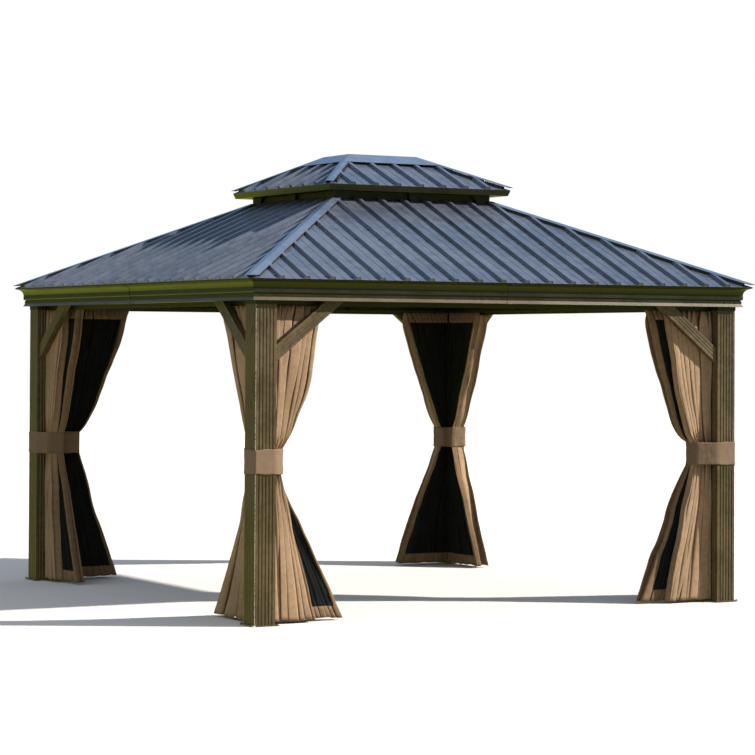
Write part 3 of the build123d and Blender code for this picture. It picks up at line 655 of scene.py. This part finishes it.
def screw(bm, place, size, tilt=0.0, turn=0.0):
    """A hex washer head, standing on its sheet or plate."""
    washer = bmesh.ops.create_cone(
        bm, cap_ends=True, segments=12, radius1=size, radius2=size * 0.85, depth=size * 0.3
    )
    head = bmesh.ops.create_cone(
        bm, cap_ends=True, segments=6, radius1=size * 0.6, radius2=size * 0.54, depth=size * 0.7
    )
    bmesh.ops.translate(bm, verts=washer["verts"], vec=(0, 0, size * 0.15))
    bmesh.ops.translate(bm, verts=head["verts"], vec=(0, 0, size * 0.6))
    stand = Matrix.Rotation(turn, 4, "Z") @ Matrix.Translation(place) @ Matrix.Rotation(tilt, 4, "X")
    bmesh.ops.transform(bm, verts=washer["verts"] + head["verts"], matrix=stand)


def rib_x(tier, rib):
    return (rib - (tier.ribs - 1) / 2) * RIB_PITCH


def slope_of(tier):
    """Run, rise and tilt of a tier's front slope."""
    run, rise = tier.eave - tier.top_y, tier.top_z - tier.eave_z
    return run, rise, Vector((run, rise)).angle(Vector((1, 0)))


def slope_screws(name, tier, rows, size):
    """Rows of screws beside the ribs of all four sides of a tier, at distances up the slope."""
    bm = bmesh.new()
    run, rise, tilt = slope_of(tier)
    length = hypot(run, rise)
    for turn in SIDE_TURN.values():
        for row in rows:
            for rib in range(tier.ribs):
                x = rib_x(tier, rib) - SCREW_ASIDE
                y = -tier.eave + run * row / length
                z = tier.eave_z + rise * row / length + SHEET_TOP / cos(tilt)
                if abs(x) <= -y - SCREW_FROM_HIP:
                    screw(bm, (x, y, z), size, tilt, turn)
    hardware(name, bm, screw_paint)


def rib_ends(name, tier):
    """Folded ends that close the ribs along a tier's eaves."""
    bm = bmesh.new()
    tilt = Matrix.Rotation(slope_of(tier)[2], 4, "X")
    for turn in SIDE_TURN.values():
        for rib in range(tier.ribs):
            plug = bmesh.ops.create_cube(bm, size=1.0)["verts"]
            bmesh.ops.scale(bm, verts=plug, vec=(2 * RIB_BASE_HALF, PLUG_THICK, RIB_HEIGHT))
            for vert in plug:
                if vert.co.z > 0:
                    vert.co.x *= RIB_TOP_HALF / RIB_BASE_HALF
            inward = PLUG_THICK / 2 + PLUG_INSET - tier.overhang
            bmesh.ops.translate(bm, verts=plug, vec=(0, inward, RIB_HEIGHT / 2))
            place = Matrix.Translation((rib_x(tier, rib), -tier.eave, tier.eave_z))
            bmesh.ops.transform(bm, verts=plug, matrix=Matrix.Rotation(turn, 4, "Z") @ place @ tilt)
    hardware(name, bm, roof_finish)


def hip_closures(name, tier):
    """Dark strips standing on the slopes, under both edges of each hip cap."""
    bm = bmesh.new()
    rise = tier.top_z - tier.eave_z
    for side_x in (-1, 1):
        for side_y in (-1, 1):
            foot = Vector((side_x, side_y, 0)) * (tier.eave - CLOSURE_INSET)
            head_x, head_y = tier.top_x + CLOSURE_INSET, tier.top_y + CLOSURE_INSET
            head = Vector((side_x * head_x, side_y * head_y, 0))
            along = (head - foot).normalized()
            square = Vector((-along.y, along.x, 0))
            for hand in (-1, 1):
                for vert in bmesh.ops.create_cube(bm, size=1.0)["verts"]:
                    aside = CLOSURE_ASIDE + (CLOSURE_THICK if vert.co.y > 0 else 0.0)
                    up = CLOSURE_TALL if vert.co.z > 0 else 0.0
                    spot = (foot if vert.co.x < 0 else head) + square * hand * aside
                    rise_x = (tier.eave - abs(spot.x)) * rise / (tier.eave - tier.top_x)
                    rise_y = (tier.eave - abs(spot.y)) * rise / (tier.eave - tier.top_y)
                    spot.z = tier.eave_z + min(rise_x, rise_y) + up
                    vert.co = spot
    bmesh.ops.recalc_face_normals(bm, faces=bm.faces)
    hardware(name, bm, dark_paint)


def vent_guard():
    """Dark bird guard standing in the vent, just inside its frames."""
    bm = bmesh.new()
    for turn in SIDE_TURN.values():
        strip = bmesh.ops.create_cube(bm, size=1.0)["verts"]
        bmesh.ops.scale(bm, verts=strip, vec=GUARD_SIZE)
        bmesh.ops.translate(bm, verts=strip, vec=(0, -GUARD_FROM_MIDDLE, GUARD_Z))
        bmesh.ops.rotate(bm, verts=strip, cent=(0, 0, 0), matrix=Matrix.Rotation(turn, 3, "Z"))
    hardware("vent_bird_guard", bm, dark_paint)


def anchor_bolts():
    """Four bolts on each base plate."""
    bm = bmesh.new()
    post_middle = POST_FACE - POST_WIDTH / 2
    steps = (-BOLT_FROM_POST_MIDDLE, BOLT_FROM_POST_MIDDLE)
    for side_x, side_y, step_x, step_y in product((-1, 1), (-1, 1), steps, steps):
        spot = (side_x * post_middle + step_x, side_y * post_middle + step_y, PLATE_TOP)
        screw(bm, spot, ANCHOR_BOLT)
    hardware("anchor_bolts", bm, screw_paint)


slope_screws("lower_roof_screws", LOWER_TIER, LOWER_SCREW_ROWS, ROOF_SCREW)
slope_screws("upper_roof_screws", UPPER_TIER, UPPER_SCREW_ROWS, EAVE_SCREW)
rib_ends("lower_rib_ends", LOWER_TIER)
rib_ends("upper_rib_ends", UPPER_TIER)
vent_guard()
hip_closures("lower_hip_closures", LOWER_TIER)
hip_closures("upper_hip_closures", UPPER_TIER)
anchor_bolts()


# Floor, sky, light and camera

FLOOR_RADIUS, FLOOR_DROP = 60.0, 0.0005


def plain_floor():
    """A pale floor for the camera; glossy paint sees a lawn in it, and other light a dull ground."""
    bm = bmesh.new()
    bmesh.ops.create_circle(bm, cap_ends=True, segments=64, radius=FLOOR_RADIUS)
    bmesh.ops.translate(bm, verts=bm.verts, vec=(0, 0, -FLOOR_DROP))
    material = bpy.data.materials.new("pale_floor")
    material.use_nodes = True
    material.node_tree.nodes.clear()
    nodes = Nodes(material.node_tree)
    pale = nodes.node("ShaderNodeBsdfDiffuse", {}, {0: (0.90, 0.89, 0.90, 1)})
    dull = nodes.node("ShaderNodeBsdfDiffuse", {}, {0: (0.36, 0.34, 0.28, 1)})
    lawn = nodes.node("ShaderNodeEmission", {}, {0: (0.50, 0.56, 0.07, 1)})
    around = nodes.either(nodes.ray("Is Glossy Ray"), dull, lawn)
    nodes.show("ShaderNodeOutputMaterial", nodes.either(nodes.ray("Is Camera Ray"), around, pale))
    floor = new_object("floor", bm, material, smooth=False)


def garden_sky():
    """White for the camera; blue over a low line of trees for the object's light and gloss."""
    world = bpy.data.worlds.new("sky")
    bpy.context.scene.world = world
    world.use_nodes = True
    world.node_tree.nodes.clear()
    nodes = Nodes(world.node_tree)
    height = nodes.axis("Z", "Generated")
    light = nodes.ramp(height, 0.04, (0.26, 0.29, 0.10, 1), 0.34, (0.80, 0.87, 1.0, 1))
    gloss = nodes.ramp(height, 0.04, (0.14, 0.17, 0.04, 1), 0.30, (0.52, 0.90, 1.55, 1))
    tint = nodes.blend(nodes.ray("Is Glossy Ray"), light, gloss)
    sky = nodes.node("ShaderNodeBackground", {}, {"Color": tint, "Strength": 0.46})
    white = nodes.node("ShaderNodeBackground", {}, {"Color": (1, 1, 1, 1), "Strength": 1.0})
    nodes.show("ShaderNodeOutputWorld", nodes.either(nodes.ray("Is Camera Ray"), sky, white))


def lamp(name, kind, energy, tint, place, target, **size):
    """A lamp that shines from a place towards a target."""
    data = bpy.data.lights.new(name, kind)
    data.energy, data.color = energy, tint
    for key, value in size.items():
        setattr(data, key, value)
    made = bpy.data.objects.new(name, data)
    bpy.context.scene.collection.objects.link(made)
    made.location = place
    made.rotation_euler = (Vector(place) - Vector(target)).to_track_quat("Z", "Y").to_euler()


plain_floor()
garden_sky()
lamp("sun", "SUN", 6.2, (1.0, 0.93, 0.82), (15.0, -8.4, 10.2), (0, 0, 0), angle=radians(1.2))
lamp("lawn_light", "AREA", 90, (0.95, 0.95, 0.45), (-9, -2, 0.8), (0, 0, 1.6), shape="DISK", size=5.0)

# Camera, fitted to the photo; pixel numbers are of its 755-pixel frame
FRAME_PIXELS = 755
FOCAL_PIXELS = 2618.1
CENTRE_PIXEL = (350.9, 300.0)
CAMERA_PLACE = (-8.8764, -15.7159, 1.6735)
YAW, PITCH, ROLL = radians(29.058), radians(1.017), radians(0.304)


def photo_camera():
    data = bpy.data.cameras.new("camera")
    data.sensor_width = 36
    data.lens = FOCAL_PIXELS * data.sensor_width / FRAME_PIXELS
    data.shift_x = (FRAME_PIXELS / 2 - CENTRE_PIXEL[0]) / FRAME_PIXELS
    data.shift_y = (CENTRE_PIXEL[1] - FRAME_PIXELS / 2) / FRAME_PIXELS
    data.clip_end = 200
    camera = bpy.data.objects.new("camera", data)
    bpy.context.scene.collection.objects.link(camera)
    bpy.context.scene.camera = camera
    forward = Vector((sin(YAW) * cos(PITCH), cos(YAW) * cos(PITCH), sin(PITCH)))
    level = Vector((cos(YAW), -sin(YAW), 0))
    upward = level.cross(forward)
    right = level * cos(ROLL) + upward * sin(ROLL)
    top = upward * cos(ROLL) - level * sin(ROLL)
    facing = Matrix((right, top, -forward)).transposed().to_4x4()
    camera.matrix_world = Matrix.Translation(CAMERA_PLACE) @ facing


photo_camera()
bpy.context.scene.view_settings.view_transform = "Standard"
